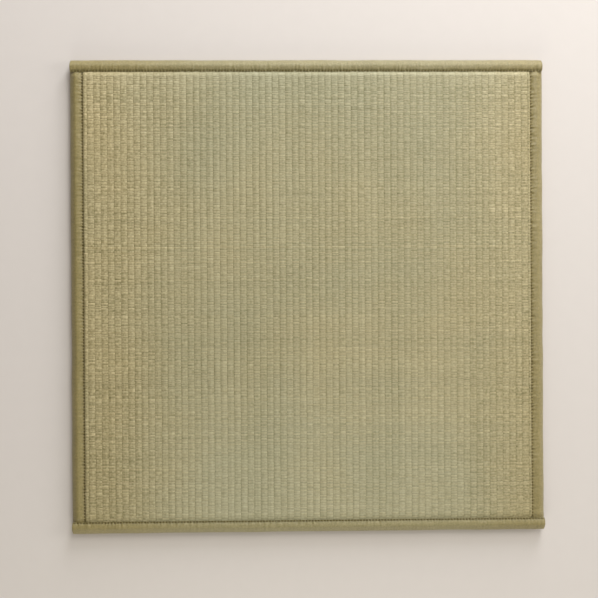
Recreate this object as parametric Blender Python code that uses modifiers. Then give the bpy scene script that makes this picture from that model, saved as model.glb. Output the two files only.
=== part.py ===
"""Square tatami floor mat, 55 cm across, bound with folded cloth tape on its four edges.

The mat is a stiff slab with a face of woven rush. Its weave stands up in ribs that run along Y, two to a
tatami eye, while the rush itself runs along X. A cloth tape is folded over each edge and sewn through the
mat. The side tapes go on first, and the head and foot tapes close over their ends.

Metres, +Z up. The mat lies on its back on the plane z = 0, its centre on the Z axis.
"""

import math

import bmesh
import bpy
import numpy as np

# The whole mat
MAT_WIDTH = 0.5485  # along X, over the side tapes
MAT_LENGTH = 0.548  # along Y, over the head and foot tapes
MAT_HEIGHT = 0.015  # from the floor to the crests of the ribs

# The woven ribs
RIB = 0.0076  # from groove to groove, half a tatami eye
FIRST_GROOVE = -0.2535  # X of the groove nearest the left tape's seam
GROOVE_DEPTH = 0.0009
GROOVE_WIDTH = 0.0018
SHOULDER_DROP = 0.0002  # from a rib's crest to the shoulder beside its groove

# The folded tape, as it lies on a straight edge
TAPE = 0.001  # cloth with its edge turned in
CLEARANCE = 0.0003  # between pieces that touch in the real mat
ROOM = 0.0015  # depth that a tape takes from what lies inside it
SIDE_FACE = 0.0155  # how far the side tapes reach in over the face
END_FACE = 0.0147  # how far the head and foot tapes reach in
SEAM_BACK = 0.0012  # from the tape's lip back to its stitches
SEAM_HEIGHT = 0.0126  # the tape's outer face where the stitches pull it down
LIP_RISE = 0.0004  # how far the lip turns up beyond the stitches
CROWN_HEIGHT = 0.0142  # the highest line of the rolled edge
CROWN_INSET = 0.0068
MIDDLE_HEIGHT = 0.0072  # where the rolled edge reaches furthest out
UNDER_INSET = 0.0050  # where the tape comes to lie flat underneath

# Where the pieces end
END_OVERHANG = 0.00075  # the head and foot tapes run this far past the side tapes
SIDE_TAPE_TRIM = 0.0050  # the side tapes stop this far inside the head and foot edges
CORE_INSET = 0.0019  # the mat's own upright edge, in from the tape's outer face
DIP_REACH = 0.0045  # how far the mat takes to recover its thickness beside a seam

ROLL_STEPS = 6  # straight lengths in each quarter of the rolled edge
CROWN_STEPS = 4  # straight lengths from the stitches up to the crown
OUTERMOST = 1 + CROWN_STEPS + ROLL_STEPS  # the profile's point that reaches furthest out


def tape_profile(face):
    """Outer face of a folded tape, from its lip on the face, round the edge, to its lip underneath.

    Returns the distances in from the mat's edge and the heights. From the stitches the tape rises to the
    crown on half a cosine wave, and the rolled edge is two quarters of ellipses.
    """
    seam = face - SEAM_BACK
    wave = np.linspace(0, math.pi, CROWN_STEPS + 1)[:-1]
    rise_s = seam + (CROWN_INSET - seam) * wave / math.pi
    rise_z = SEAM_HEIGHT + (CROWN_HEIGHT - SEAM_HEIGHT) * (1 - np.cos(wave)) / 2
    turn = np.linspace(math.pi / 2, 0, ROLL_STEPS + 1)
    upper_s = CROWN_INSET * (1 - np.cos(turn))
    upper_z = MIDDLE_HEIGHT + (CROWN_HEIGHT - MIDDLE_HEIGHT) * np.sin(turn)
    back = turn[::-1][1:]
    lower_s = UNDER_INSET * (1 - np.cos(back))
    lower_z = MIDDLE_HEIGHT * (1 - np.sin(back))
    s = np.concatenate([[face], rise_s, upper_s, lower_s, [face]])
    z = np.concatenate([[SEAM_HEIGHT + LIP_RISE], rise_z, upper_z, lower_z, [0.0]])
    return s, z


def inside_profile(face, depth):
    """The tape's profile moved inwards by depth, as (upper s, upper z, lower s, lower z), s rising."""
    s, z = tape_profile(face)
    along_s, along_z = np.gradient(s), np.gradient(z)
    length = np.hypot(along_s, along_z)
    in_s = s - depth * along_z / length
    in_z = z + depth * along_s / length
    return in_s[OUTERMOST::-1], in_z[OUTERMOST::-1], in_s[OUTERMOST:], in_z[OUTERMOST:]


def shoulder(inset, face):
    """0 beside the tape's lip, rising to 1 on half a cosine wave as the mat recovers its thickness."""
    recovered = np.clip((inset - face - 3 * CLEARANCE) / DIP_REACH, 0, 1)
    return (1 - np.cos(math.pi * recovered)) / 2


def end_limits(inset, open_height):
    """Lowest and highest level at this distance from the head or foot for what lies inside the end tape.

    Away from the tape the upper level climbs to open_height and the lower one comes down to the floor.
    """
    upper_s, upper_z, lower_s, lower_z = inside_profile(END_FACE, ROOM)
    recovery = shoulder(inset, END_FACE)
    low = np.interp(inset, lower_s, lower_z)
    high = np.interp(inset, upper_s, upper_z)
    return low * (1 - recovery), high + (open_height - high) * recovery


def squeezed(z, inset, open_height):
    """Heights z of something that runs, pressed flat, under the head or foot tape."""
    low, high = end_limits(inset, open_height)
    above = MIDDLE_HEIGHT + (z - MIDDLE_HEIGHT) * (high - MIDDLE_HEIGHT) / (open_height - MIDDLE_HEIGHT)
    below = MIDDLE_HEIGHT + (z - MIDDLE_HEIGHT) * (MIDDLE_HEIGHT - low) / MIDDLE_HEIGHT
    return np.where(z > MIDDLE_HEIGHT, above, below)


def seam_stations(face):
    """Distances in from an edge where the pieces under its tape, and beside it, change section."""
    under_tape = inside_profile(face, ROOM)[0]
    lip = face + CLEARANCE * np.array([0, 1, 2])
    beside = face + 3 * CLEARANCE + DIP_REACH * np.linspace(0, 1, 5)
    return np.concatenate([under_tape[under_tape < face - CLEARANCE], lip, beside])


def both_ends(insets, length):
    """Places across a length, from insets given from one end and repeated from the other."""
    insets = np.sort(np.asarray(insets))
    return np.concatenate([insets, length - insets[::-1]]) - length / 2


def grooves():
    """X of every groove between two ribs, across the width of the mat."""
    before = math.floor((FIRST_GROOVE + MAT_WIDTH / 2) / RIB)
    return np.arange(FIRST_GROOVE - before * RIB, MAT_WIDTH / 2, RIB)


def rib_relief(x):
    """How far the weave lies below the crests of its ribs."""
    nearest = np.abs(x[:, None] - grooves()).min(axis=1)
    across = np.clip(nearest / (GROOVE_WIDTH / 2), 0, 1)
    crest = np.clip((nearest - GROOVE_WIDTH / 2) / (RIB / 2 - GROOVE_WIDTH / 2), 0, 1)
    return GROOVE_DEPTH * (1 - across) + SHOULDER_DROP * (across - crest)


def rib_stations():
    """X of each groove, of the shoulders beside it, and of each rib's crest, between the side tapes."""
    places = grooves()[:, None] + np.array([0, GROOVE_WIDTH / 2, RIB / 2, RIB - GROOVE_WIDTH / 2])
    places = places.ravel()
    return places[np.abs(places) < MAT_WIDTH / 2 - SIDE_FACE - 4 * CLEARANCE]


def between_tapes(x, across, along):
    """Heights of the mat's back and face between the side tapes: the ribs, pressed down beside each seam."""
    upper_s, upper_z, lower_s, lower_z = inside_profile(SIDE_FACE, ROOM)
    recovery = shoulder(across, SIDE_FACE)
    back = squeezed(lower_z[-1] * (1 - recovery), along, MAT_HEIGHT)
    face = squeezed(upper_z[-1] + (MAT_HEIGHT - upper_z[-1]) * recovery, along, MAT_HEIGHT)
    return back, face - rib_relief(x)[:, None] * recovery * shoulder(along, END_FACE)


def under_side_tape(y, across, along):
    """Heights of the mat's back and face inside a side tape: its section, less the room that it needs.

    Beyond the side tape's end only the head or foot tape is over the mat.
    """
    outer_s, outer_z = tape_profile(SIDE_FACE)
    upper_s, upper_z, lower_s, lower_z = inside_profile(SIDE_FACE, ROOM)
    top = np.interp(across, outer_s[OUTERMOST::-1], outer_z[OUTERMOST::-1])
    bottom = np.interp(across, outer_s[OUTERMOST:], outer_z[OUTERMOST:])
    top_room = top - np.interp(across, upper_s, upper_z)
    bottom_room = np.interp(across, lower_s, lower_z) - bottom

    low, high = end_limits(along, CROWN_HEIGHT)
    back = squeezed(bottom, along, CROWN_HEIGHT)
    back += bottom_room * np.hypot(1, np.gradient(back, y, axis=1))
    face = squeezed(top, along, CROWN_HEIGHT)
    face -= top_room * np.hypot(1, np.gradient(face, y, axis=1))
    taped = along > SIDE_TAPE_TRIM - 2 * CLEARANCE
    back = np.where(taped, back, np.maximum(bottom + bottom_room, low))
    face = np.where(taped, face, np.minimum(top - top_room, high))
    return back, face


def mat_heights(x, y):
    """Heights of the mat's back and face at every pair of x and y, as two arrays of len(x) by len(y)."""
    across = MAT_WIDTH / 2 - np.abs(x)[:, None] + 0 * y
    along = MAT_LENGTH / 2 - np.abs(y) + 0 * across
    taped = across < SIDE_FACE + 1.5 * CLEARANCE
    open_back, open_face = between_tapes(x, across, along)
    taped_back, taped_face = under_side_tape(y, across, along)
    return np.where(taped, taped_back, open_back), np.where(taped, taped_face, open_face)


def finish(name, colour, roughness):
    """A plain matt material of this colour."""
    material = bpy.data.materials.new(name)
    material.use_nodes = True
    shader = material.node_tree.nodes["Principled BSDF"]
    shader.inputs["Base Color"].default_value = (*colour, 1)
    shader.inputs["Roughness"].default_value = roughness
    shader.inputs["Metallic"].default_value = 0
    return material


def grid(columns, rows):
    """A flat grid with this many columns and rows of points, and the column and the row of each point."""
    bm = bmesh.new()
    bmesh.ops.create_grid(bm, x_segments=columns - 1, y_segments=rows - 1, size=1)
    place = np.array([vertex.co[:2] for vertex in bm.verts])
    column = np.rint((place[:, 0] + 1) / 2 * (columns - 1)).astype(int)
    row = np.rint((place[:, 1] + 1) / 2 * (rows - 1)).astype(int)
    return bm, column, row


def add_object(name, bm, material, collection, parent):
    """Puts a finished mesh in the scene under the mat's empty."""
    mesh = bpy.data.meshes.new(name)
    bm.to_mesh(mesh)
    bm.free()
    mesh.materials.append(material)
    obj = bpy.data.objects.new(name, mesh)
    collection.objects.link(obj)
    obj.parent = parent
    return obj


def side_tape_stations():
    """Distances in from the head or foot where a side tape changes section, from its end on."""
    return [SIDE_TAPE_TRIM] + [s for s in seam_stations(END_FACE) if s > SIDE_TAPE_TRIM + CLEARANCE]


def add_woven_mat(material, collection, parent):
    """The slab under its woven face: a grid for the back, drawn up into the ribbed face."""
    sides = [CORE_INSET] + [s for s in seam_stations(SIDE_FACE) if CORE_INSET < s < SIDE_FACE + 4 * CLEARANCE]
    x = np.sort(np.concatenate([rib_stations(), both_ends(sides, MAT_WIDTH)]))
    before_tape = [SIDE_TAPE_TRIM - 3 * CLEARANCE, SIDE_TAPE_TRIM - CLEARANCE]
    ends = [CORE_INSET, (CORE_INSET + SIDE_TAPE_TRIM) / 2] + before_tape + side_tape_stations()
    y = both_ends(ends, MAT_LENGTH)
    back, face = mat_heights(x, y)

    bm, column, row = grid(len(x), len(y))
    for vertex, i, j in zip(bm.verts, column, row):
        vertex.co = (x[i], y[j], back[i, j])
    back_points = list(bm.verts)
    drawn_up = bmesh.ops.extrude_face_region(bm, geom=list(bm.faces))["geom"]
    face_points = {tuple(item.co): item for item in drawn_up if isinstance(item, bmesh.types.BMVert)}
    for vertex, i, j in zip(back_points, column, row):
        face_points[tuple(vertex.co)].co.z = face[i, j]
    bmesh.ops.recalc_face_normals(bm, faces=list(bm.faces))
    add_object("woven_mat", bm, material, collection, parent)


def add_tape(name, edge, face, places, material, collection, parent, press=None):
    """A folded tape: its outer face as a grid along the edge, thickened inwards.

    It is modelled along Y with the mat on its +X side. edge is how far it then moves out to the mat's edge
    and the turn about Z that takes it there. press takes a height and a place to the height once pressed.
    """
    offset, turn = edge
    s, z = tape_profile(face)
    bm, column, row = grid(len(places), len(s))
    for vertex, i, j in zip(bm.verts, column, row):
        height = press(z[j], places[i]) if press else z[j]
        vertex.co = (s[j] - offset, places[i], height)
    for quad in bm.faces:
        quad.smooth = True
    obj = add_object(name, bm, material, collection, parent)
    obj.rotation_euler.z = turn
    thickness = obj.modifiers.new("tape", "SOLIDIFY")
    thickness.thickness = TAPE
    thickness.offset = -1
    thickness.use_even_offset = True


def main():
    for obj in list(bpy.data.objects):
        bpy.data.objects.remove(obj)
    collection = bpy.data.collections.new("tatami_mat")
    bpy.context.scene.collection.children.link(collection)
    root = bpy.data.objects.new("tatami_mat", None)
    collection.objects.link(root)

    rush = finish("woven_rush", (0.38, 0.33, 0.19), 0.7)
    cloth = finish("binding_cloth", (0.27, 0.23, 0.10), 0.75)
    add_woven_mat(rush, collection, root)

    def under_end_tape(z, y):
        return float(squeezed(z, MAT_LENGTH / 2 - abs(y), CROWN_HEIGHT))

    side_places = both_ends(side_tape_stations(), MAT_LENGTH)
    for name, turn in (("binding_left", 0), ("binding_right", math.pi)):
        edge = (MAT_WIDTH / 2, turn)
        add_tape(name, edge, SIDE_FACE, side_places, cloth, collection, root, under_end_tape)
    end_places = both_ends([-END_OVERHANG], MAT_WIDTH)
    for name, turn in (("binding_head", -math.pi / 2), ("binding_foot", math.pi / 2)):
        add_tape(name, (MAT_LENGTH / 2, turn), END_FACE, end_places, cloth, collection, root)


main()
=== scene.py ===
"""Square tatami floor mat, 55 cm across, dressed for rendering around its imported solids.

The rush mat is one ribbed, woven slab. Four folded cloth tapes bind its edges, and rows of
stitches hold them down. Metres, +Z up, the mat on its back on the floor, its ribs along Y and
its rush along X.

An edge of the mat is described by its section: the distance s in from the edge, and the height z.
"""

import math

import bpy
import mathutils
import numpy as np
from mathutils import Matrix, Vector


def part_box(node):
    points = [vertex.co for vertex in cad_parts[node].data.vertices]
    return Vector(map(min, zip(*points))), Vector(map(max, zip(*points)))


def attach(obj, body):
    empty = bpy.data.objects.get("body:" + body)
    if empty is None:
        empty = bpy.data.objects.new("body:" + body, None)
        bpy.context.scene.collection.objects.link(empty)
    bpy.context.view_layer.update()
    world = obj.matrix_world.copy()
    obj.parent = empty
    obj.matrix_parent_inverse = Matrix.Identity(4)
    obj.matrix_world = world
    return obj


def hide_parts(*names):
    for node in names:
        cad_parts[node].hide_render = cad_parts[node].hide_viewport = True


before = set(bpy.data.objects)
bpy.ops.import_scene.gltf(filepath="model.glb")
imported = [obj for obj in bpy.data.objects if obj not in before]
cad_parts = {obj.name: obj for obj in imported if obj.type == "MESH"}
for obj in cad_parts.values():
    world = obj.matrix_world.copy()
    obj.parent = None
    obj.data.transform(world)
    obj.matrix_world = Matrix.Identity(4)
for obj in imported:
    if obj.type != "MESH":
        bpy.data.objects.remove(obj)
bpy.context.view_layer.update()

bl_info = {
    "name": "Tatami floor mat",
    "version": (1, 0, 0),
    "blender": (4, 5, 0),
    "location": "View3D > Sidebar > Tatami",
    "description": "Makes a square tatami mat with a ribbed rush face and a stitched binding",
    "category": "Add Mesh",
}

SEED = 11

# The mat, from the frame
SIDE_LOW, SIDE_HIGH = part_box("binding_left")
_, HEAD_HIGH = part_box("binding_head")
_, BODY_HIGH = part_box("woven_mat")
MAT_WIDTH = -2 * SIDE_LOW[0]  # along X, over the side tapes
MAT_LENGTH = 2 * HEAD_HIGH[1]  # along Y, over the head and foot tapes
END_OVERHANG = HEAD_HIGH[0] - MAT_WIDTH / 2  # how far the foot tape runs past the right tape
SIDE_TAPE_TRIM = MAT_LENGTH / 2 - SIDE_HIGH[1]  # the side tapes stop this far inside the ends
MAT_HEIGHT = BODY_HIGH[2]  # from the floor to the crests of the ribs
CROWN_HEIGHT = HEAD_HIGH[2]  # the highest line of the rolled edge

# The folded tape's section
TAPE = 0.001  # cloth with its edge turned in
ROOM = 0.0013  # depth that a tape takes from what lies inside it
LIP_CLEARANCE = 0.0002  # how far beyond a lip the slab stays pressed down
LEFT_FACE = 0.0153  # how far the left tape reaches in over the face
RIGHT_FACE = 0.0147  # how far the right tape reaches in
END_FACE = 0.0137  # how far the head and foot tapes reach in
SEAM_BACK = 0.0005  # from the tape's lip back to its stitches
SEAM_HEIGHT = 0.0131  # the tape's outer face where the stitches pull it down
LIP_RISE = 0.0002  # how far the lip turns up beyond the stitches
CROWN_INSET = 0.0072
MIDDLE_HEIGHT = 0.0072  # where the rolled edge reaches furthest out
UNDER_INSET = 0.0050  # where the tape comes to lie flat underneath
ROLL_PROUD = 0.0004  # how far the rolled edge stands out past the solid
ROLL_SHAPE = 1.5  # 1 makes it an ellipse, and more makes its flank straighter
END_DIP = 0.0060  # how far the mat takes to recover its thickness beside the end tapes' seams
SIDE_DIP = 0.0010  # and beside the left and right seams
CURVE_STEPS, LIP_STEPS, FLAT_STEPS = 24, 4, 8  # points on each curve, the lip and the flat

# Rows of points on a tape: in the cloth's round edge, as shares of its thickness, then (from,
# to, by) beside the stitches, and (from, to, how many) further round
RIM_ROWS = (0, 0.07, 0.22, 0.5)
STITCH_ROWS = (0.0009, 0.0062, 0.00055)
ROLL_ROWS = (0.0068, 0.0105, 18)  # the second one back from the lip underneath
UNDER_ROWS = (0.0085, 0.001, 5)  # both back from that lip

# The tapes' ends
HEAD_SHORT = 0.0003  # the head tape stops this far inside the left tape's edge
SECTION_CENTRE = (0.0065, 0.0070)  # s and z that the closed end of a tape is gathered to
END_ROUND = 0.0014  # how far from its end a closed tape starts to round off
END_POWER = 4  # 2 rounds it off as an ellipse, and more makes it squarer
END_SCALES = (0.05, 0.1, 0.2, 0.35, 0.55, 0.75, 0.9, 0.97, 0.993, 1.0)  # sizes of its rings

# How the stitches draw the cloth in
END_PULL, END_DRAW = 0.25, 0.0010  # how uneven the dip along them is, and how deep
SIDE_PULL, SIDE_DRAW = 0.5, 0.00055
DRAW_REACH = 0.0013  # how far from the stitches the dip and its shade fade
FADE_START = 0.0005  # from the stitches to where their folds start to fade
FOLD_REACH, CREASE_REACH = 0.0022, 0.0055  # how far they take to fade
FOLD_RISE = 1.8
FOLD_MEAN, FOLD_SPREAD, FOLD_LENGTH = 0.6, 0.7, 0.011  # the folds' strength, which is uneven
CREASE_LENGTH, CREASE_TURN = 0.0045, 0.25  # a lower turn makes the creases run further round
SLACK, SLACK_LENGTH, SLACK_START = 0.00012, 0.05, 0.004  # long, shallow waves in the cloth

# A stitch, as shares of its thread's thickness
END_THREAD = 0.85  # the thread of the head and foot tapes
STITCH_ARCH, STITCH_SINK, STITCH_FLATNESS = 0.30, 0.18, 0.55
STITCH_TIP = 0.02  # the square of the share of its radius that it keeps at its ends
STITCH_RINGS, STITCH_SIDES = 7, 6

# The weave
FIRST_GROOVE = -0.2535  # X of the groove nearest the left tape's seam
RIBS_BEFORE = 3  # ribs tried before that groove
RIB_COLUMNS = (0, 0.2, 0.8)  # the slab's columns in a rib: its groove and its shoulders
LIP_COLUMNS = (0.0001, 0.0007, 0.0013)  # beyond a side tape's lip
COLUMN_ROOM = 0.0018  # from a side tape's lip to the first of a rib's own columns
HIDDEN_COLUMNS = (0.0019, 0.0045, 0.0085, 0.0130)  # s of the slab's columns under a side tape
HIDDEN_ROWS = (0.0019, 0.0034, 0.0041, 0.0047, 0.0070, 0.0105, 0.0130)  # and rows under an end
ROW_SPREAD, ROW_LEAST, ROW_MOST = 0.3, 0.5, 1.5  # widths of the rushes against their mean
RUSH_SPREAD = 0.22  # of the rushes' rise, as a share of their relief
GROOVE_WANDER = ((0.00003, 0.012), (0.00015, 0.09))  # how far grooves stray, over what length
RUSH_WANDER = (0.00022, 0.03)  # the same for the rushes
FACE_WANDER = (0.00003, 0.06)  # and for the height of the face
NEARLY = 1e-4  # a column this near to a groove, in ribs, is on it
ODD_RIBS = 1000  # added to the numbers of the rushes that show on odd ribs
RUSH_EDGE = 0.01  # how near to whole numbers the v of a rush comes
UPRIGHT_FOOT = 0.0052  # height of the lower end of the slab's upright edge
UPRIGHT_ROUND, UPRIGHT_ROOM = 0.0028, 0.0003  # how it turns under there, clear of the tape

# Uneven fields
WAVES = 16
SHORTEST, LONGEST = 0.7, 1.8  # of the waves, against the field's size


def size_property(name, description, default):
    """A size that a user can change."""
    return bpy.props.FloatProperty(
        name=name, description=description, default=default, unit="LENGTH"
    )


class TatamiSizes(bpy.types.PropertyGroup):
    """Sizes of the weave and of the sewing"""

    rib: size_property("Rib", "From one groove of the weave to the next", 0.0076)
    rush: size_property("Rush", "From one pair of rushes on a rib to the next", 0.0031)
    groove_depth: size_property("Groove depth", "How far the weave dips between ribs", 0.00064)
    rush_relief: size_property(
        "Rush relief", "How far a rush stands above the dips beside it", 0.0003
    )
    stitch: size_property("Stitch", "From one stitch to the next", 0.00352)
    stitch_length: size_property("Stitch length", "Length of thread that shows in a stitch", 0.0024)
    thread: size_property("Thread", "Thickness of the sewing thread", 0.0015)
    pucker: size_property("Pucker", "Height of the small folds that the stitches pull", 0.0005)


def colour_property(name, description, default):
    """A colour that a user can change."""
    return bpy.props.FloatVectorProperty(
        name=name, description=description, default=default, subtype="COLOR", size=3, min=0, max=1
    )


class TatamiColours(bpy.types.PropertyGroup):
    """Colours of the rush, the cloth and the thread"""

    rush_green: colour_property("Green rush", "Rush that has kept its green", (0.322, 0.300, 0.174))
    rush_straw: colour_property(
        "Straw rush", "Rush that has turned to straw", (0.415, 0.337, 0.168)
    )
    cloth: colour_property("Binding cloth", "The folded tape", (0.247, 0.195, 0.061))
    # The tape's colour in the middle of the mat, which turns to the cloth colour towards the sides
    cloth_middle: colour_property(
        "Binding cloth, middle", "The tape where it has kept its green", (0.252, 0.213, 0.084)
    )
    thread: colour_property("Thread", "The sewing thread", (0.11, 0.08, 0.016))
    backing: colour_property("Backing", "The plain back of the mat", (0.55, 0.50, 0.40))
    floor: colour_property("Floor", "The plain floor", (0.64, 0.59, 0.54))


# Sections and levels of the slab and the tapes


def tape_outline(face):
    """Outer face of a folded tape from its lip on the face, round the edge, to its lip underneath.

    The lip turns up on a parabola, and from the stitches the tape rises to the crown on a quarter
    of a sine wave. The rolled edge is two quarters of ellipses, the upper one with its sine and
    cosine raised to ROLL_SHAPE. Returns s, z and the index of the point furthest out.
    """
    seam = face - SEAM_BACK
    wave = np.linspace(0, 1, CURVE_STEPS)[:-1]
    rise_s = seam + (CROWN_INSET - seam) * wave
    rise_z = SEAM_HEIGHT + (CROWN_HEIGHT - SEAM_HEIGHT) * np.sin(wave * math.pi / 2)
    turn = np.linspace(math.pi / 2, 0, CURVE_STEPS)
    across = np.maximum(np.cos(turn), 0) ** ROLL_SHAPE
    upper_s = CROWN_INSET - (CROWN_INSET + ROLL_PROUD) * across
    upper_z = MIDDLE_HEIGHT + (CROWN_HEIGHT - MIDDLE_HEIGHT) * np.sin(turn) ** ROLL_SHAPE
    turn = np.linspace(0, math.pi / 2, CURVE_STEPS)[1:]
    lower_s = UNDER_INSET - (UNDER_INSET + ROLL_PROUD) * np.cos(turn)
    lower_z = MIDDLE_HEIGHT * (1 - np.sin(turn))
    lip = np.linspace(0, 1, LIP_STEPS)[:-1]
    lip_s, lip_z = face - SEAM_BACK * lip, SEAM_HEIGHT + LIP_RISE * (1 - lip) ** 2
    flat = np.linspace(UNDER_INSET, face, FLAT_STEPS)[1:]
    s = np.concatenate([lip_s, rise_s, upper_s, lower_s, flat])
    z = np.concatenate([lip_z, rise_z, upper_z, lower_z, 0 * flat])
    return s, z, len(lip) + len(wave) + CURVE_STEPS - 1


def moved_in(s, z, depth):
    """A section's outline moved by depth along its inward normal."""
    along_s, along_z = np.gradient(s), np.gradient(z)
    length = np.hypot(along_s, along_z)
    return s - depth * along_z / length, z + depth * along_s / length


def outer_level(face):
    """Height of the tape's upper outer face, as a function of s."""
    s, z, middle = tape_outline(face)
    return lambda inset: np.interp(inset, s[middle::-1], z[middle::-1])


def inside(face, below=False):
    """Height of the room inside a tape, above its middle or below it, as a function of s."""
    s, z, middle = tape_outline(face)
    s, z = moved_in(s, z, ROOM)
    part = slice(middle, None) if below else slice(middle, None, -1)
    return lambda inset: np.interp(inset, s[part], z[part])


def shoulder(inset, face, reach):
    """0 beside the tape's lip, rising to 1 on half a cosine wave as the mat recovers."""
    recovered = np.clip((inset - face - LIP_CLEARANCE) / reach, 0, 1)
    return (1 - np.cos(math.pi * recovered)) / 2


def by_side(x, level):
    """A level that depends on how far in the left or right tape reaches, for places x."""
    return np.where(x < 0, level(LEFT_FACE), level(RIGHT_FACE))


def squeezed(z, inset, open_height):
    """Heights z of what runs under the head or foot tape, pressed to the room inside it.

    They shrink in proportion above and below the middle, and recover as the shoulder does.
    """
    recovery = shoulder(inset, END_FACE, END_DIP)
    low = inside(END_FACE, below=True)(inset) * (1 - recovery)
    free = inside(END_FACE)(inset)
    high = free + (open_height - free) * recovery
    rise = z - MIDDLE_HEIGHT
    above = MIDDLE_HEIGHT + rise * (high - MIDDLE_HEIGHT) / (open_height - MIDDLE_HEIGHT)
    below = MIDDLE_HEIGHT + rise * (MIDDLE_HEIGHT - low) / MIDDLE_HEIGHT
    return np.where(z > MIDDLE_HEIGHT, above, below)


def uneven(x, y, size, seed):
    """A smooth, uneven field about 1 high: a sum of sine waves of about this size."""
    draw = np.random.default_rng(seed)
    total = 0
    for _ in range(WAVES):
        angle, phase = draw.uniform(0, 2 * math.pi, 2)
        length = size * draw.uniform(SHORTEST, LONGEST)
        along = x * math.cos(angle) + y * math.sin(angle)
        total = total + np.sin(along * 2 * math.pi / length + phase)
    return total / math.sqrt(WAVES / 2)


# Meshes


def make_piece(name, points, faces, materials, coordinates, kinds=None):
    """A smooth mesh object at the origin, with a UV map named cloth from each corner's (u, v)."""
    mesh = bpy.data.meshes.new(name)
    mesh.from_pydata(points, [], faces)
    mesh.polygons.foreach_set("use_smooth", np.ones(len(mesh.polygons), bool))
    uv = np.asarray(coordinates, np.float32).ravel()
    mesh.uv_layers.new(name="cloth").data.foreach_set("uv", uv)
    for material in materials:
        mesh.materials.append(material)
    if kinds is not None:
        mesh.polygons.foreach_set("material_index", np.asarray(kinds, np.int32))
    obj = bpy.data.objects.new(name, mesh)
    bpy.context.scene.collection.objects.link(obj)
    return obj


def quads(index):
    """The corners of each cell of a grid of point numbers, counter-clockwise, rows going up."""
    corners = index[:-1, :-1], index[:-1, 1:], index[1:, 1:], index[1:, :-1]
    return np.stack(corners, axis=-1).reshape(-1, 4)


# The rush mat


def rush_columns(sizes):
    """X of the slab's columns: each groove, two on each rib, and a few under the side tapes."""
    half = MAT_WIDTH / 2
    first = FIRST_GROOVE - RIBS_BEFORE * sizes.rib
    groove = first + sizes.rib * np.arange(math.ceil(MAT_WIDTH / sizes.rib))
    places = (groove[:, None] + sizes.rib * np.array(RIB_COLUMNS)).ravel()
    first_open, last_open = LEFT_FACE + COLUMN_ROOM - half, half - RIGHT_FACE - COLUMN_ROOM
    open_columns = places[(places > first_open) & (places < last_open)]
    hidden = np.array(HIDDEN_COLUMNS)
    left = np.append(hidden, LEFT_FACE + np.array(LIP_COLUMNS)) - half
    right = half - np.append(hidden, RIGHT_FACE + np.array(LIP_COLUMNS))
    return np.sort(np.concatenate([left, open_columns, right]))


def rush_rows(sizes):
    """Y of the slab's rows: two to each rush that shows, all uneven, and a few under the ends."""
    reach = MAT_LENGTH / 2 - END_FACE
    count = 2 * round(2 * reach / sizes.rush)
    widths = np.random.default_rng(SEED + 5).normal(1, ROW_SPREAD, count)
    walked = np.append(0, np.cumsum(np.clip(widths, ROW_LEAST, ROW_MOST)))
    hidden = MAT_LENGTH / 2 - np.array(HIDDEN_ROWS)
    return np.sort(np.concatenate([reach * (2 * walked / walked[-1] - 1), hidden, -hidden]))


def slab_level(x, y):
    """Heights of the slab's face before the weave, over rows y and columns x.

    Between the side tapes the face is the mat's height, pressed down beside each seam. Inside a
    side tape it is the tape's section less its room, and beyond the side tape's end only the end
    tape presses on it.
    """
    across = MAT_WIDTH / 2 - np.abs(x)[None, :] + 0 * y[:, None]
    along = MAT_LENGTH / 2 - np.abs(y)[:, None] + 0 * across
    recovery = by_side(x, lambda face: shoulder(across, face, SIDE_DIP))
    lip_level = by_side(x, lambda face: inside(face)(face))
    open_face = squeezed(lip_level + (MAT_HEIGHT - lip_level) * recovery, along, MAT_HEIGHT)

    top = by_side(x, lambda face: outer_level(face)(across))
    free = by_side(x, lambda face: inside(face)(across))
    pressed = squeezed(top, along, CROWN_HEIGHT)
    slope = np.gradient(pressed, y, axis=0)
    pressed = pressed - (top - free) * np.hypot(1, slope)
    beyond = along < SIDE_TAPE_TRIM
    pressed = np.where(beyond, np.minimum(free, inside(END_FACE)(along)), pressed)
    taped = across < by_side(x, lambda face: face)
    return np.where(taped, pressed, open_face)


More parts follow.
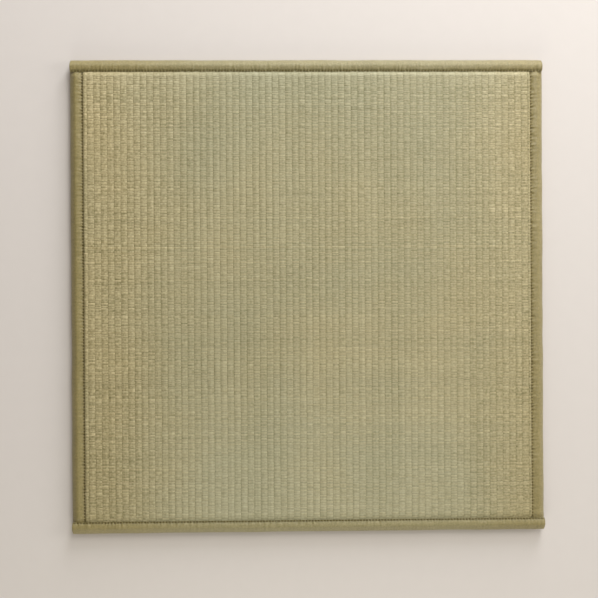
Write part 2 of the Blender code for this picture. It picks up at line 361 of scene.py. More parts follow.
def woven_surface(sizes):
    """The slab's face: x, y and z over rows and columns, and which columns are grooves.

    Across a rib the face drops from its crown by the groove's depth times the fifth power of the
    distance, which is 1 at the groove. On even ribs the even rows are crests of a rush and the odd
    ones the dips between, and on odd ribs the other way round, so each rush shows on every second
    rib. Smooth uneven fields bend the rows and grooves, and each rush has its own small rise.
    """
    x, y = rush_columns(sizes), rush_rows(sizes)
    turns = (x - FIRST_GROOVE) / sizes.rib
    is_groove = np.abs(turns - np.rint(turns)) < NEARLY
    rib = np.floor(turns + NEARLY * is_groove).astype(int)
    across = MAT_WIDTH / 2 - np.abs(x)
    along = MAT_LENGTH / 2 - np.abs(y)
    recovery = by_side(x, lambda face: shoulder(across, face, SIDE_DIP))[None, :]
    recovery = recovery * shoulder(along, END_FACE, END_DIP)[:, None]
    from_crown = 2 * np.abs(turns - np.floor(turns) - 0.5)

    row = np.arange(len(y))
    passed = row[:, None] + rib[None, :]
    draw = np.random.default_rng(SEED)
    own = draw.normal(0, RUSH_SPREAD, (len(y) // 2 + 1, rib.max() - rib.min() + 1))
    own = own[passed // 2 % len(own), (rib - rib.min())[None, :]]
    relief = np.where(is_groove, 0, sizes.rush_relief) * (own - passed % 2)
    height = slab_level(x, y) + (relief - sizes.groove_depth * from_crown**5) * recovery

    grid_x, grid_y = np.meshgrid(x, y)

    def stray(wander, seed):
        """How far the weave strays on its way, nowhere near the seams."""
        distance, length = wander
        return distance * recovery * uneven(grid_x, grid_y, length, seed)

    bent_x = grid_x + stray(GROOVE_WANDER[0], SEED + 1)
    bent_x = bent_x + stray(GROOVE_WANDER[1], SEED + 2)
    bent_y = grid_y + stray(RUSH_WANDER, SEED + 3)
    height = height + stray(FACE_WANDER, SEED + 4)
    return np.stack([bent_x, bent_y, height], axis=-1), is_groove


def rush_coordinates(points, cell_rib):
    """(x, rush number and place across it) at each corner of each cell of the face.

    The whole part of v numbers the rush, and the rest goes from 0 to 1 across it. Two rushes lie
    side by side from one dip to the next, and those of odd ribs have numbers above ODD_RIBS.
    """
    rows = points.shape[0]
    row = np.arange(rows - 1)[:, None]
    crest = row + (row + cell_rib[None, :]) % 2
    number = 2 * (crest // 2) + (crest == row) + ODD_RIBS * (cell_rib[None, :] % 2)
    low, high = number + RUSH_EDGE, number + (1 - RUSH_EDGE)
    left, right = points[:, :-1, 0], points[:, 1:, 0]
    u = np.stack([left[:-1], right[:-1], right[1:], left[1:]], axis=-1)
    v = np.stack([low, low, high, high], axis=-1)
    return np.stack([u, v], axis=-1).reshape(-1, 2)


def slab_back(points, first):
    """Points and faces that close the slab underneath, from the face's rim to the plain back.

    Each ring is the rim drawn in towards the centre, at its own level. The last one is crossed by
    strips from side to side, with a fan of triangles at the head and the foot.
    """
    rows, columns = points.shape[:2]
    index = np.arange(rows * columns).reshape(rows, columns)
    rim = np.concatenate([index[0, :-1], index[:-1, -1], index[-1, :0:-1], index[:0:-1, 0]])
    place = points.reshape(-1, 3)[rim, :2]
    half = np.abs(place).max(axis=0)
    lip = np.array([MAT_WIDTH / 2 - LEFT_FACE, MAT_LENGTH / 2 - END_FACE]) - LIP_CLEARANCE
    levels = (
        (half, UPRIGHT_FOOT),
        (half - UPRIGHT_ROUND, ROOM + TAPE + UPRIGHT_ROOM),
        (lip, ROOM),
        (lip - END_DIP, 0.0),
    )
    rings = [np.column_stack([place * reach / half, np.full(len(rim), z)]) for reach, z in levels]
    numbers = [rim] + [first + n * len(rim) + np.arange(len(rim)) for n in range(len(rings))]
    faces = []
    for outer, inner in zip(numbers[:-1], numbers[1:]):
        faces.append(np.stack([np.roll(outer, -1), outer, inner, np.roll(inner, -1)], axis=-1))
    last = numbers[-1]
    foot = last[:columns]
    right = last[columns - 1 : columns + rows - 1]
    head = last[columns + rows - 2 : 2 * columns + rows - 2][::-1]
    left = np.append(last[0], last[:-rows:-1])
    faces.append(quads(np.stack([right, left], axis=-1))[1 : rows - 2])
    fans = []
    for edge, low, high in ((foot, left[1], right[1]), (head[::-1], right[-2], left[-2])):
        middle = columns // 2
        fans.append(np.column_stack([edge[1 : middle + 1], edge[:middle], np.full(middle, low)]))
        rest = len(edge) - 1 - middle
        fans.append(np.column_stack([edge[middle + 1 :], edge[middle:-1], np.full(rest, high)]))
        fans.append(np.array([[low, high, edge[middle]]]))
    return np.concatenate(rings), np.concatenate(faces), np.concatenate(fans)


class TATAMI_OT_rush_mat(bpy.types.Operator):
    """Weave the rush mat: the ribbed face and the plain back as one slab"""

    bl_idname = "tatami.rush_mat"
    bl_label = "Rush mat"

    def execute(self, context):
        sizes, colours = context.scene.tatami_sizes, context.scene.tatami_colours
        points, is_groove = woven_surface(sizes)
        rows, columns = points.shape[:2]
        x = rush_columns(sizes)
        middles = (x[:-1] + x[1:]) / 2
        cell_rib = np.floor((middles - FIRST_GROOVE) / sizes.rib).astype(int)
        face = quads(np.arange(rows * columns).reshape(rows, columns))
        back_points, back, fans = slab_back(points, rows * columns)
        all_points = np.concatenate([points.reshape(-1, 3), back_points])
        back_uv = all_points[np.concatenate([back.ravel(), fans.ravel()]), :2]
        slab = make_piece(
            "rush_mat",
            all_points,
            face.tolist() + back.tolist() + fans.tolist(),
            [rush_material(sizes, colours), backing_material(colours)],
            np.concatenate([rush_coordinates(points, cell_rib), back_uv]),
            np.repeat([0, 1], [len(face), len(back) + len(fans)]),
        )
        crease_weave(slab.data, rows, columns, cell_rib, is_groove)
        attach(slab, "root")
        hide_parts("woven_mat")
        return {"FINISHED"}


def crease_weave(mesh, rows, columns, cell_rib, is_groove):
    """Marks as sharp the edges in the dips between two rushes, and those along the grooves."""
    ends = np.empty(len(mesh.edges) * 2, np.int32)
    mesh.edges.foreach_get("vertices", ends)
    ends = np.sort(ends.reshape(-1, 2), axis=1)
    on_face = ends[:, 1] < rows * columns
    row, column = np.divmod(np.where(on_face[:, None], ends, 0), columns)
    between_rushes = (row[:, 0] == row[:, 1]) & (column[:, 1] == column[:, 0] + 1)
    cell = np.clip(column[:, 0], 0, columns - 2)
    between_rushes &= (row[:, 0] + cell_rib[cell]) % 2 == 1
    in_groove = (column[:, 0] == column[:, 1]) & is_groove[column[:, 0]]
    sharp = mesh.attributes.new("sharp_edge", "BOOLEAN", "EDGE")
    sharp.data.foreach_set("value", on_face & (between_rushes | in_groove))


# The folded tapes


def tape_stations(face):
    """Distances round a tape's section where it gets a row of points, close by the stitches."""
    s, z, _ = tape_outline(face)
    length = np.hypot(np.diff(s), np.diff(z)).sum()
    rim = np.array(RIM_ROWS) * TAPE
    first, last, count = ROLL_ROWS
    roll = np.linspace(first, length - last, count)
    first, last, count = UNDER_ROWS
    under = np.linspace(length - first, length - last, count)
    return np.concatenate([rim, np.arange(*STITCH_ROWS), roll, under, length - rim[::-1]])


def tape_rings(sizes, low, high, closed):
    """Rings of points along a tape from low to high: four to a stitch, and more at its ends.

    A closed end rounds off on a superellipse of END_POWER over END_ROUND, and is gathered to its
    centre. Returns each ring's place, its size, how far along the cloth it is from the end, and
    the share of the cloth's outward direction that points along the tape.
    """
    quarter = sizes.stitch / 4
    if closed:
        size = np.array(END_SCALES)
        from_end = END_ROUND * (1 - (1 - size**END_POWER) ** (1 / END_POWER))
        radial = np.gradient(size) * SECTION_CENTRE[1]
        outward = radial / np.hypot(radial, np.gradient(from_end))
        outward[-1] = 0
        cloth = (size - size[0]) * SECTION_CENTRE[1] + from_end
    else:
        from_end = np.array(RIM_ROWS) * TAPE
        size, outward, cloth = 1 + 0 * from_end, 0 * from_end, from_end
    inner = from_end[-1] + quarter / 2
    first = math.ceil((low + inner) / quarter)
    last = math.floor((high - inner) / quarter)
    between = quarter * np.arange(first, last + 1)
    place = np.concatenate([low + from_end, between, high - from_end[::-1]])
    to_end = np.concatenate([cloth, 1 + 0 * between, cloth[::-1]])
    size = np.concatenate([size, 1 + 0 * between, size[::-1]])
    outward = np.concatenate([-outward, 0 * between, outward[::-1]])
    return place[:, None], size[:, None], to_end[:, None], outward[:, None]


def stitch_phase(sizes, place):
    """1 at the middle of each stitch, -1 half way between two."""
    return np.cos(place / sizes.stitch * 2 * math.pi)


def tape_surfaces(sizes, face, ends, seed, pressed=None):
    """Outer and inner faces of a tape that lies along Y with the mat on its +X side, s along X.

    Both lie half the cloth's thickness from its middle, less along a quarter circle towards every
    edge of the cloth, so they meet there in a round fold. The stitches draw the cloth in by a
    bell-shaped dip about their line, deepest at each stitch. Small folds run up from them and fade
    with distance, and finer creases fade further out. A side tape is pressed down at its ends by
    what crosses it, and the stitches pull its dip more unevenly than that of an end tape, which
    closes at its ends instead.
    """
    closed = pressed is None
    round_it = tape_stations(face)
    place, size, to_end, outward = tape_rings(sizes, *ends, closed)
    s, z, _ = tape_outline(face)
    walked = np.concatenate([[0], np.cumsum(np.hypot(np.diff(s), np.diff(z)))])
    along_s, along_z = np.gradient(s, walked), np.gradient(z, walked)
    outer_s, outer_z = np.interp(round_it, walked, s), np.interp(round_it, walked, z)
    normal_s = np.interp(round_it, walked, -along_z)
    normal_z = np.interp(round_it, walked, along_s)

    whole = walked[-1]
    grid = round_it + 0 * place
    from_seam = np.minimum(np.abs(round_it - SEAM_BACK), np.abs(whole - round_it - SEAM_BACK))
    past_seam = np.maximum(from_seam - FADE_START, 0)
    stitched = stitch_phase(sizes, place)
    pull, deep = (END_PULL, END_DRAW) if closed else (SIDE_PULL, SIDE_DRAW)
    drawn_in = deep * np.exp(-((from_seam / DRAW_REACH) ** 2)) * (1 - pull + pull * stitched)
    upper = np.where(round_it < whole / 2, 1, 0)
    fading = upper * np.exp(-past_seam / FOLD_REACH)
    strength = FOLD_MEAN + FOLD_SPREAD * uneven(place, 0 * place, FOLD_LENGTH, seed)
    folds = FOLD_RISE * pull * sizes.pucker * fading * strength * stitched / 2
    creasing = upper * np.exp(-past_seam / CREASE_REACH)
    creases = uneven(place, CREASE_TURN * grid, CREASE_LENGTH, seed + 2)
    creases = sizes.pucker * creasing * creases / 2
    slack = SLACK * uneven(place, grid, SLACK_LENGTH, seed + 1)
    slack = slack * np.clip(from_seam / SLACK_START, 0, 1)

    to_rim = np.minimum(np.minimum(round_it, whole - round_it), to_end)
    half = TAPE / 2
    fullness = np.sqrt(1 - (1 - np.clip(to_rim / half, 0, 1)) ** 2)
    level = np.sqrt(1 - outward**2)
    centre_s, centre_z = SECTION_CENTRE
    faces = []
    for offset in (half * (1 - fullness), half * (1 + fullness)):
        depth = offset + (drawn_in + folds + creases + slack) * level
        at_s = centre_s + size * (outer_s - centre_s) + depth * level * normal_s
        at_z = centre_z + size * (outer_z - centre_z) + depth * level * normal_z
        at_y = place - depth * outward
        at_z = at_z if closed else pressed(at_z, place)
        faces.append(np.stack([at_s, at_y + 0 * at_s, np.maximum(at_z, 0)], axis=-1))
    gathered = place + np.sign(outward) * (1 - size) * centre_z
    coordinates = np.stack([gathered + 0 * round_it, grid], axis=-1)
    return faces[0], faces[1], coordinates


EDGES = {  # turn about Z from the tape's own place, and distance from the mat's centre
    "left": (0, MAT_WIDTH / 2),
    "right": (math.pi, MAT_WIDTH / 2),
    "head": (-math.pi / 2, MAT_LENGTH / 2),
    "foot": (math.pi / 2, MAT_LENGTH / 2),
}
TAPE_ENDS = {  # Y of the head and foot tapes' ends, in their own places
    "head": (HEAD_SHORT - MAT_WIDTH / 2, MAT_WIDTH / 2),
    "foot": (-MAT_WIDTH / 2 - END_OVERHANG, MAT_WIDTH / 2),
}


def to_edge(points, side):
    """Turns points from the tape's own place to the edge of the mat that it binds."""
    turn, reach = EDGES[side]
    x, y = points[..., 0] - reach, points[..., 1]
    cos, sin = math.cos(turn), math.sin(turn)
    return np.stack([x * cos - y * sin, x * sin + y * cos, points[..., 2]], axis=-1)


def tape_of(sizes, side):
    """Outer and inner faces and cloth coordinates of one side's tape, in its own place."""
    seed = SEED + 10 * list(EDGES).index(side)
    if side in TAPE_ENDS:
        return tape_surfaces(sizes, END_FACE, TAPE_ENDS[side], seed)
    reach = MAT_LENGTH / 2 - SIDE_TAPE_TRIM
    return tape_surfaces(
        sizes,
        LEFT_FACE if side == "left" else RIGHT_FACE,
        (-reach, reach),
        seed,
        pressed=lambda z, place: squeezed(z, MAT_LENGTH / 2 - np.abs(place), CROWN_HEIGHT),
    )


def closed_cloth(outer, inner):
    """Points and faces of the cloth between two grids that meet along all four edges.

    The last result is the grid of the outer face's point numbers.
    """
    rows, columns = outer.shape[:2]
    front = np.arange(rows * columns).reshape(rows, columns)
    rear = front.copy()
    middle = rear[1:-1, 1:-1]
    middle[:] = front.size + np.arange(middle.size).reshape(middle.shape)
    points = np.concatenate([outer.reshape(-1, 3), inner[1:-1, 1:-1].reshape(-1, 3)])
    return points, np.concatenate([quads(front)[:, ::-1], quads(rear)]), front


class TATAMI_OT_bindings(bpy.types.Operator):
    """Fold the four cloth tapes over the edges of the mat and sew them down"""

    bl_idname = "tatami.bindings"
    bl_label = "Bindings"

    def execute(self, context):
        sizes, colours = context.scene.tatami_sizes, context.scene.tatami_colours
        cloth, thread = cloth_material(sizes, colours), thread_material(colours)
        for side in EDGES:
            outer, inner, coordinates = tape_of(sizes, side)
            points, faces, front = closed_cloth(to_edge(outer, side), to_edge(inner, side))
            both = np.concatenate([quads(front)[:, ::-1], quads(front)])
            uv = coordinates.reshape(-1, 2)[both]
            tape = make_piece(f"tape_{side}", points, faces.tolist(), [cloth], uv)
            stitches = make_stitches(sizes, side, outer, coordinates, thread)
            for piece in (tape, stitches):
                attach(piece, "root")
            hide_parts(f"binding_{side}")
        return {"FINISHED"}


def make_stitches(sizes, side, outer, coordinates, material):
    """A row of stitches on the face and one on the back: short threads with sunken ends.

    Each thread rises from the cloth and back on half a sine wave, and its radius falls towards
    its ends as the square root of 1 less the fourth power of the place along it. The tape's outer
    face gives the level of the cloth. The head and foot tapes are sewn with a thinner thread.
    """
    place = coordinates[:, 0, 0]
    round_it = coordinates[0, :, 1]
    at_end = side in TAPE_ENDS
    reach = MAT_WIDTH / 2 - END_ROUND if at_end else MAT_LENGTH / 2 - END_FACE
    thread = sizes.thread * (END_THREAD if at_end else 1.0)
    last = int((reach - sizes.stitch_length / 2) / sizes.stitch)
    middles = sizes.stitch * np.arange(-last, last + 1)
    t = np.linspace(-1, 1, STITCH_RINGS)
    around = np.arange(STITCH_SIDES) * 2 * math.pi / STITCH_SIDES
    radius = thread / 2 * np.sqrt(np.maximum(1 - t**4, STITCH_TIP))[:, None]
    arch = thread * (STITCH_ARCH * np.cos(t * math.pi / 2) - STITCH_SINK)[:, None]
    along = middles[:, None, None] + t[:, None] * sizes.stitch_length / 2
    rows = []
    for line, up in ((SEAM_BACK, 1), (round_it[-1] - SEAM_BACK, -1)):
        column = np.abs(round_it - line).argmin()
        level = np.interp(along, place, outer[:, column, 2])
        inset = np.interp(along, place, outer[:, column, 0])
        x = inset + radius * np.cos(around)
        z = level + up * (arch + STITCH_FLATNESS * radius * np.sin(around))
        rows.append(np.stack([x, along + 0 * x, np.maximum(z, 0.0)], axis=-1))
    points = np.concatenate(rows)
    index = np.arange(points[..., 0].size).reshape(points.shape[:3])
    wrapped = np.concatenate([index, index[:, :, :1]], axis=2)
    low, high = wrapped[:, :-1], wrapped[:, 1:]
    corners = high[..., :-1], high[..., 1:], low[..., 1:], low[..., :-1]
    walls = np.stack(corners, axis=-1).reshape(-1, 4)
    caps = np.concatenate([index[:, 0], index[:, -1, ::-1]])
    flat = points.reshape(-1, 3)
    uv = flat[np.concatenate([walls.ravel(), caps.ravel()])][:, [1, 0]]
    faces = walls.tolist() + caps.tolist()
    return make_piece(f"stitches_{side}", to_edge(flat, side), faces, [material], uv)


# Finishes

SIDES = (0.02, 0.12, 0.27)  # X of the middle, then how far from it the sides start and are full
ENDS = (0.03, 0.08, 0.26)  # the same along Y, for the head and the foot together
# from the centre to the foot tape, where painted light lightens the middle and painted shade
# darkens the sides
FOOT_LIGHT_AND_SHADE_SPAN = (1.0, 1.0, 1.26)  # from the centre to the foot tape
# a strip beside the head tape, made paler by painted light
PAINTED_LIGHT_BY_HEAD = (-1.0, 1.23, 1.262)  # a strip beside the head tape
# where the painted shade about the stitches turns from a cosine into an unbroken line
END_TAPES = (0.0, 0.256, 0.258)

# Features in a metre, along X and Y or along u and v
STREAKS, LANES, BANDS = (480.0, 5.0), (24.0, 2.5), (3.0, 28.0)
DRIFTS, DASHES = 13.0, 400.0  # along a rush
FIBRES = (260.0, 2.5)  # the second number in each rush
PATCHES, FLUFF, GRAIN, CLOUDS, SPECKS = 9.0, 900.0, 60.0, 22.0, 500.0
SLUBS, CREASES = (60.0, 1500.0), (420.0, 70.0)
TWIST = (9000.0, 6000.0)  # radians in a metre along the thread and across it
CLOTH_THREAD = 0.00035  # from one thread of the cloth to the next

OWN_DRAW, LANE_DRAW = 0.5, 7.5  # tell apart what is drawn once for each rush
LANE_SPREAD = 900.0  # keeps the drifts of each rush apart
NEIGHBOUR = 0.25  # share of each neighbour's draw that is taken off a rush's own


class Look:
    """A material in the making: its nodes, its links and its shader."""

    def __init__(self, name, roughness, specular):
        """Starts a material."""
        self.material = bpy.data.materials.new(name)
        self.material.use_nodes = True
        self.nodes = self.material.node_tree.nodes
        self.links = self.material.node_tree.links
        self.shader = self.nodes["Principled BSDF"]
        self.shader.inputs["Roughness"].default_value = roughness
        self.shader.inputs["Specular IOR Level"].default_value = specular

    def fill(self, sockets, values):
        """Gives each socket its value: another socket, a plain number or a colour."""
        for socket, value in zip(sockets, values):
            if isinstance(value, bpy.types.NodeSocket):
                self.links.new(value, socket)
            elif isinstance(value, (int, float)):
                socket.default_value = value
            else:
                socket.default_value = (*value, 1)

    def math(self, operation, *values):
        """The output of a Math node."""
        node = self.nodes.new("ShaderNodeMath")
        node.operation = operation
        self.fill(node.inputs, values)
        return node.outputs[0]

    def times(self, value, factor):
        """The product of two values."""
        return self.math("MULTIPLY", value, factor)

    def plus(self, value, *patterns):
        """The value, to which each (pattern, share) adds the pattern times its share."""
        for pattern, share in patterns:
            value = self.math("MULTIPLY_ADD", pattern, share, value)
        return value

    def shifted(self, middle, *patterns):
        """A value about the middle: each (pattern, share) adds its share of pattern less 0.5."""
        value = middle
        for pattern, share in patterns:
            value = self.plus(value, (self.math("SUBTRACT", pattern, 0.5), share))
        return value

    def vector(self, *parts):
        """A vector of its parts."""
        node = self.nodes.new("ShaderNodeCombineXYZ")
        self.fill(node.inputs, parts)
        return node.outputs[0]

    def parts(self, vector):
        """The X, Y and Z of a vector."""
        node = self.nodes.new("ShaderNodeSeparateXYZ")
        self.links.new(vector, node.inputs[0])
        return node.outputs

    def place(self):
        """The place on the mat."""
        return self.nodes.new("ShaderNodeTexCoord").outputs["Object"]

    def cloth_uv(self):
        """The u and v of the piece's own map."""
        node = self.nodes.new("ShaderNodeUVMap")
        node.uv_map = "cloth"
        u, v, _ = self.parts(node.outputs["UV"])
        return u, v

    def noise(self, vector, scale, detail, roughness=0.5):
        """The value of a noise pattern, about 0.5."""
        node = self.nodes.new("ShaderNodeTexNoise")
        node.inputs["Scale"].default_value = scale
        node.inputs["Detail"].default_value = detail
        node.inputs["Roughness"].default_value = roughness
        self.links.new(vector, node.inputs["Vector"])
        return node.outputs["Fac"]

    def stretched_noise(self, first, second, scales, detail):
        """A noise pattern on two sockets, each with its own number of features in a metre."""
        along, across = self.times(first, scales[0]), self.times(second, scales[1])
        return self.noise(self.vector(along, across), 1.0, detail)

    def mixed(self, factor, first, second, blend="MIX"):
        """The mix of two colours."""
        node = self.nodes.new("ShaderNodeMix")
        node.data_type = "RGBA"
        node.blend_type = blend
        self.fill((node.inputs[0], node.inputs[6], node.inputs[7]), (factor, first, second))
        return node.outputs[2]

    def drawn(self, first, second):
        """A number from 0 to 1 drawn for each pair of numbers."""
        node = self.nodes.new("ShaderNodeTexWhiteNoise")
        node.noise_dimensions = "2D"
        self.links.new(self.vector(first, second), node.inputs["Vector"])
        return node.outputs["Value"]

    def set_off(self, number, second):
        """About 0.5: what is drawn for each rush, less a share of what its neighbours draw."""
        beside = [self.drawn(self.math("ADD", number, step), second) for step in (-1.0, 1.0)]
        around = self.plus(NEIGHBOUR, (self.math("ADD", *beside), -NEIGHBOUR))
        return self.math("ADD", self.drawn(number, second), around)

    def edge_of(self, cycles, power):
        """1 at each whole number of cycles and 0 half way, the sharper the higher the power."""
        away = self.math("ABSOLUTE", self.plus(-1.0, (self.math("FRACT", cycles), 2.0)))
        return self.math("POWER", away, power)

    def off_centre(self, part, middle, inner, outer):
        """0 within the inner distance from the middle, rising smoothly to 1 at the outer one.

        Where the middle lies off the mat, this rises towards one of its ends only.
        """
        away = self.math("ABSOLUTE", self.math("SUBTRACT", part, middle))
        rise = self.nodes.new("ShaderNodeMapRange")
        rise.interpolation_type = "SMOOTHSTEP"
        rise.inputs["From Min"].default_value = inner
        rise.inputs["From Max"].default_value = outer
        self.links.new(away, rise.inputs["Value"])
        return rise.outputs[0]

    def toned(self, colour, tone, depth):
        """The colour times the tone. Blue takes its power, so that dark parts keep their warmth."""
        blue = self.math("POWER", tone, depth)
        return self.mixed(1.0, colour, self.vector(tone, tone, blue), "MULTIPLY")

    def colour_with(self, colour):
        """Gives the shader its colour."""
        self.links.new(colour, self.shader.inputs["Base Color"])

    def bump(self, height, distance):
        """Raises the shader's surface by the pattern."""
        node = self.nodes.new("ShaderNodeBump")
        node.inputs["Distance"].default_value = distance
        self.links.new(height, node.inputs["Height"])
        self.links.new(node.outputs["Normal"], self.shader.inputs["Normal"])


def rush_material(sizes, colours):
    """Dried rush: each one its own tone, lighter and darker along its length, with fine fibres.

    u is the place along the rush and v numbers it. Its tone is drawn for the rush and again for
    each float between two grooves, drifts along it, and is broken by dashes and fibres. All this
    is stronger towards the sides and the head. Over it lie streaks and broad lanes along the
    ribs, and bands across them. Painted shade darkens the dips between pairs of rushes and the
    grooves, painted light makes the strip beside the head tape paler, and towards the foot
    painted light lightens the middle and painted shade darkens the sides.

    The colour goes from green to straw in broad patches and towards the two sides, and is greener
    in the middle of the head and the foot.
    """
    look = Look("woven rush", roughness=0.58, specular=0.35)
    u, v = look.cloth_uv()
    number = look.math("FLOOR", v)
    ribs = look.plus(-FIRST_GROOVE / sizes.rib, (u, 1 / sizes.rib))
    own = look.set_off(number, OWN_DRAW)
    here = look.set_off(number, look.math("FLOOR", ribs))
    lane = look.times(look.drawn(number, LANE_DRAW), LANE_SPREAD)
    drift = look.noise(look.vector(look.times(u, DRIFTS), lane), 1.0, 1.0)
    dash = look.noise(look.vector(look.times(u, DASHES), lane), 1.0, 0.0)
    fibre = look.stretched_noise(u, v, FIBRES, 2.0)
    # Painted shade: masks for the dips between pairs of rushes and for the grooves
    painted_gap_shade = look.edge_of(look.times(v, 0.5), power=6.0)
    groove = look.edge_of(ribs, power=5.0)

    place = look.place()
    x, y, _ = look.parts(place)
    streak = look.stretched_noise(x, y, STREAKS, 1.0)
    lanes = look.stretched_noise(x, y, LANES, 1.0)
    bands = look.stretched_noise(x, y, BANDS, 2.0)
    patch = look.noise(place, PATCHES, 2.0)
    side = look.off_centre(x, *SIDES)
    # Painted light: mask of the paler strip beside the head tape
    head = look.off_centre(y, *PAINTED_LIGHT_BY_HEAD)
    middle_ends = look.times(look.off_centre(y, *ENDS), look.math("SUBTRACT", 1.0, side))
    # Painted light and shade towards the foot: lighter in the middle, darker at the sides
    painted_foot_light_and_shade = look.times(look.off_centre(y, *FOOT_LIGHT_AND_SHADE_SPAN), look.math("SUBTRACT", 0.55, side))

    straw = look.shifted(0.32, (patch, 0.7), (own, 0.2), (here, 0.1))
    straw = look.plus(straw, (side, 0.42), (middle_ends, -0.25))
    clamp = look.nodes.new("ShaderNodeClamp")
    look.links.new(straw, clamp.inputs["Value"])
    colour = look.mixed(clamp.outputs[0], colours.rush_green, colours.rush_straw)

    strength = look.plus(0.74, (y, 0.4), (side, 0.54))
    along = look.shifted(0.0, (own, 0.13), (drift, 0.34), (here, 0.08), (dash, 0.6), (fibre, 0.3))
    tone = look.shifted(1.0, (streak, 0.24), (lanes, 0.16), (bands, 0.1))
    # Painted shade darkens the dips between pairs of rushes and the grooves
    tone = look.plus(tone, (along, strength), (painted_gap_shade, -0.3), (groove, -0.17))
    # Painted light pales the strip beside the head tape and the middle towards the foot, and
    # painted shade darkens the sides towards the foot
    tone = look.plus(tone, (painted_foot_light_and_shade, 0.20), (head, 0.09), (side, -0.02))
    look.colour_with(look.toned(colour, tone, depth=1.35))

    rounded = look.math("SINE", look.times(look.math("FRACT", v), math.pi))
    look.bump(look.plus(look.math("POWER", rounded, 0.6), (fibre, 0.4)), distance=0.00022)
    return look.material


def backing_material(colours):
    """Plain felted backing."""
    look = Look("backing", roughness=0.9, specular=0.2)
    fluff = look.noise(look.place(), FLUFF, 4.0, 0.7)
    dark = [0.8 * value for value in colours.backing]
    look.colour_with(look.mixed(fluff, dark, colours.backing))
    look.bump(fluff, distance=0.0003)
    return look.material


def cloth_material(sizes, colours):
    """Closely woven cotton: crossing threads, slubs along the tape, small creases, a soft sheen.

    u runs along the tape and v round it from the lip. Painted shade darkens the cloth about its
    stitches, on a bell across them, where the dips they pull lie in shadow. Along a side tape that
    painted shade is mostly a cosine with its peaks at the stitches, and along an end tape it is
    mostly one unbroken line.
    """
    look = Look("binding cloth", roughness=0.48, specular=0.7)
    look.shader.inputs["Sheen Weight"].default_value = 0.2
    look.shader.inputs["Sheen Roughness"].default_value = 0.35
    u, v = look.cloth_uv()
    threads = math.pi / CLOTH_THREAD
    warp = look.math("SINE", look.times(u, threads))
    weft = look.math("SINE", look.times(v, threads))
    weave = look.times(warp, weft)
    slub = look.stretched_noise(u, v, SLUBS, 2.0)
    crease = look.stretched_noise(u, v, CREASES, 2.0)
    place = look.place()
    x, y, _ = look.parts(place)
    cloud = look.noise(place, CLOUDS, 3.0, 0.6)
    speck = look.noise(place, SPECKS, 2.0, 0.6)

    # Painted shade about the stitches: a bell across their line, a cosine along a side tape and
    # mostly a line along an end tape
    from_seam = look.plus(-SEAM_BACK / DRAW_REACH, (v, 1 / DRAW_REACH))
    squared = look.math("POWER", look.math("ABSOLUTE", from_seam), 2.0)
    bell = look.math("EXPONENT", look.times(squared, -1.0))
    stitched = look.math("COSINE", look.times(u, 2 * math.pi / sizes.stitch))
    at_end = look.off_centre(y, *END_TAPES)
    share = look.plus(0.65, (at_end, -0.25))
    line = look.plus(0.35, (at_end, 0.65))
    shade = look.times(bell, look.plus(line, (stitched, share)))

    tone = look.shifted(1.0, (slub, 0.35), (cloud, 0.3), (speck, 0.8), (crease, 0.35))
    # The painted shade about the stitches darkens the tone here
    tone = look.plus(tone, (weave, 0.06), (shade, -0.34))
    # The tape is greener in the middle of the mat and turns to the cloth colour towards the sides
    side = look.off_centre(x, *SIDES)
    base = look.mixed(side, colours.cloth_middle, colours.cloth)
    look.colour_with(look.toned(base, tone, depth=1.5))
    look.bump(look.plus(weave, (slub, 0.6), (crease, 4.0)), distance=0.00006)
    return look.material


def thread_material(colours):
    """Twisted thread: slanting strands across its length."""
    look = Look("sewing thread", roughness=0.6, specular=0.4)
    u, v = look.cloth_uv()
    along, across = look.times(u, TWIST[0]), look.times(v, TWIST[1])
    strands = look.math("SINE", look.math("ADD", along, across))
    tone = look.plus(1.0, (strands, 0.15))
    shade = look.vector(tone, tone, tone)
    look.colour_with(look.mixed(1.0, colours.thread, shade, "MULTIPLY"))
    look.bump(strands, distance=0.00005)
    return look.material


def floor_material(colours):
    """Plain matt floor."""
    look = Look("floor", roughness=0.9, specular=0.2)
    grain = look.noise(look.place(), GRAIN, 4.0)
    dark = [0.97 * value for value in colours.floor]
    look.colour_with(look.mixed(grain, dark, colours.floor))
    return look.material


# The stage

CAMERA_PLACE = (-0.0280, -0.0001, 0.9744)
CAMERA_TURN = (-0.191, -1.030, -0.320)  # degrees about X, Y and Z
CAMERA_LENS = 50.0  # mm, on a sensor 36 mm wide
FLOOR_REACH = 3.0  # from its middle to each side
LAMPS = {  # place, size in metres, power in watts, colour
    "window": ((0.5, 1.75, 0.7), 0.9, 37.0, (0.9, 0.93, 1.0)),
    "ceiling": ((0.4, 1.2, 1.5), 0.9, 15.5, (1.0, 1.0, 0.97)),
    "side window": ((1.7, 0.2, 0.8), 0.9, 12.0, (1.0, 1.0, 1.0)),
    "card": ((-0.1, -1.3, 0.5), 0.9, 8.0, (1.0, 1.0, 0.88)),
}
SKY_COLOUR = (1.0, 0.93, 0.9)
SKY_STRENGTH = 0.29


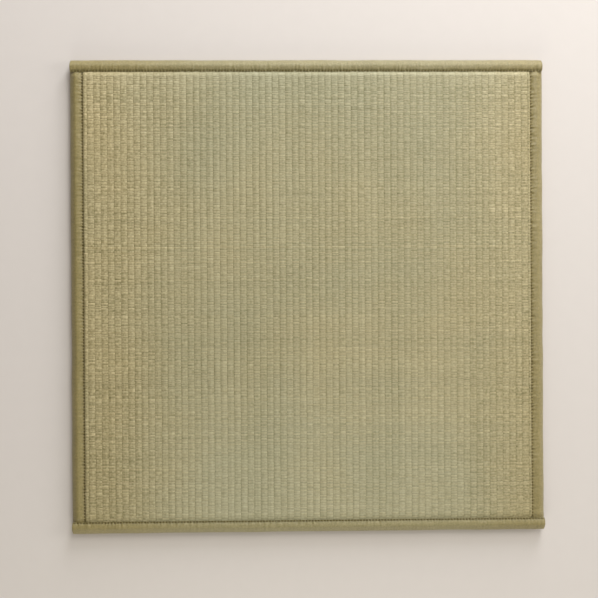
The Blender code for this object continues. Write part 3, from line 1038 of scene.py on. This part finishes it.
class TATAMI_OT_stage(bpy.types.Operator):
    """Lay the floor, and set the soft light and the camera"""

    bl_idname = "tatami.stage"
    bl_label = "Stage"

    def execute(self, context):
        scene = context.scene
        corner = np.array([[-1, -1], [1, -1], [1, 1], [-1, 1]]) * FLOOR_REACH
        points = np.column_stack([corner, np.zeros(4)])
        material = floor_material(scene.tatami_colours)
        floor = make_piece("floor", points, [(0, 1, 2, 3)], [material], corner)

        camera_data = bpy.data.cameras.new("camera")
        camera_data.lens = CAMERA_LENS
        camera = bpy.data.objects.new("camera", camera_data)
        camera.location = CAMERA_PLACE
        camera.rotation_euler = [math.radians(angle) for angle in CAMERA_TURN]
        scene.collection.objects.link(camera)
        scene.camera = camera

        for name, (place, size, power, colour) in LAMPS.items():
            lamp_data = bpy.data.lights.new(name, "AREA")
            lamp_data.energy = power
            lamp_data.size = size
            lamp_data.color = colour
            lamp = bpy.data.objects.new(name, lamp_data)
            lamp.location = place
            lamp.rotation_euler = mathutils.Vector(place).to_track_quat("Z", "Y").to_euler()
            scene.collection.objects.link(lamp)

        world = bpy.data.worlds.new("soft sky")
        world.use_nodes = True
        sky = world.node_tree.nodes["Background"]
        sky.inputs["Color"].default_value = (*SKY_COLOUR, 1)
        sky.inputs["Strength"].default_value = SKY_STRENGTH
        scene.world = world
        scene.view_settings.view_transform = "Standard"
        return {"FINISHED"}


class TATAMI_PT_panel(bpy.types.Panel):
    """The mat's pieces, sizes and colours"""

    bl_idname = "TATAMI_PT_panel"
    bl_label = "Tatami floor mat"
    bl_space_type = "VIEW_3D"
    bl_region_type = "UI"
    bl_category = "Tatami"

    def draw(self, context):
        for operator in OPERATORS:
            self.layout.operator(operator.bl_idname)
        for group in (context.scene.tatami_sizes, context.scene.tatami_colours):
            for name in group.__annotations__:
                self.layout.prop(group, name)


OPERATORS = (TATAMI_OT_rush_mat, TATAMI_OT_bindings, TATAMI_OT_stage)
CLASSES = (TatamiSizes, TatamiColours, *OPERATORS, TATAMI_PT_panel)


def register():
    """Adds the classes, and the sizes and colours of a scene."""
    for cls in CLASSES:
        bpy.utils.register_class(cls)
    bpy.types.Scene.tatami_sizes = bpy.props.PointerProperty(type=TatamiSizes)
    bpy.types.Scene.tatami_colours = bpy.props.PointerProperty(type=TatamiColours)


def unregister():
    """Takes them away again."""
    del bpy.types.Scene.tatami_colours
    del bpy.types.Scene.tatami_sizes
    for cls in reversed(CLASSES):
        bpy.utils.unregister_class(cls)


def main():
    """Makes the mat and its stage."""
    register()
    bpy.ops.tatami.rush_mat()
    bpy.ops.tatami.bindings()
    bpy.ops.tatami.stage()


if __name__ == "__main__":
    main()
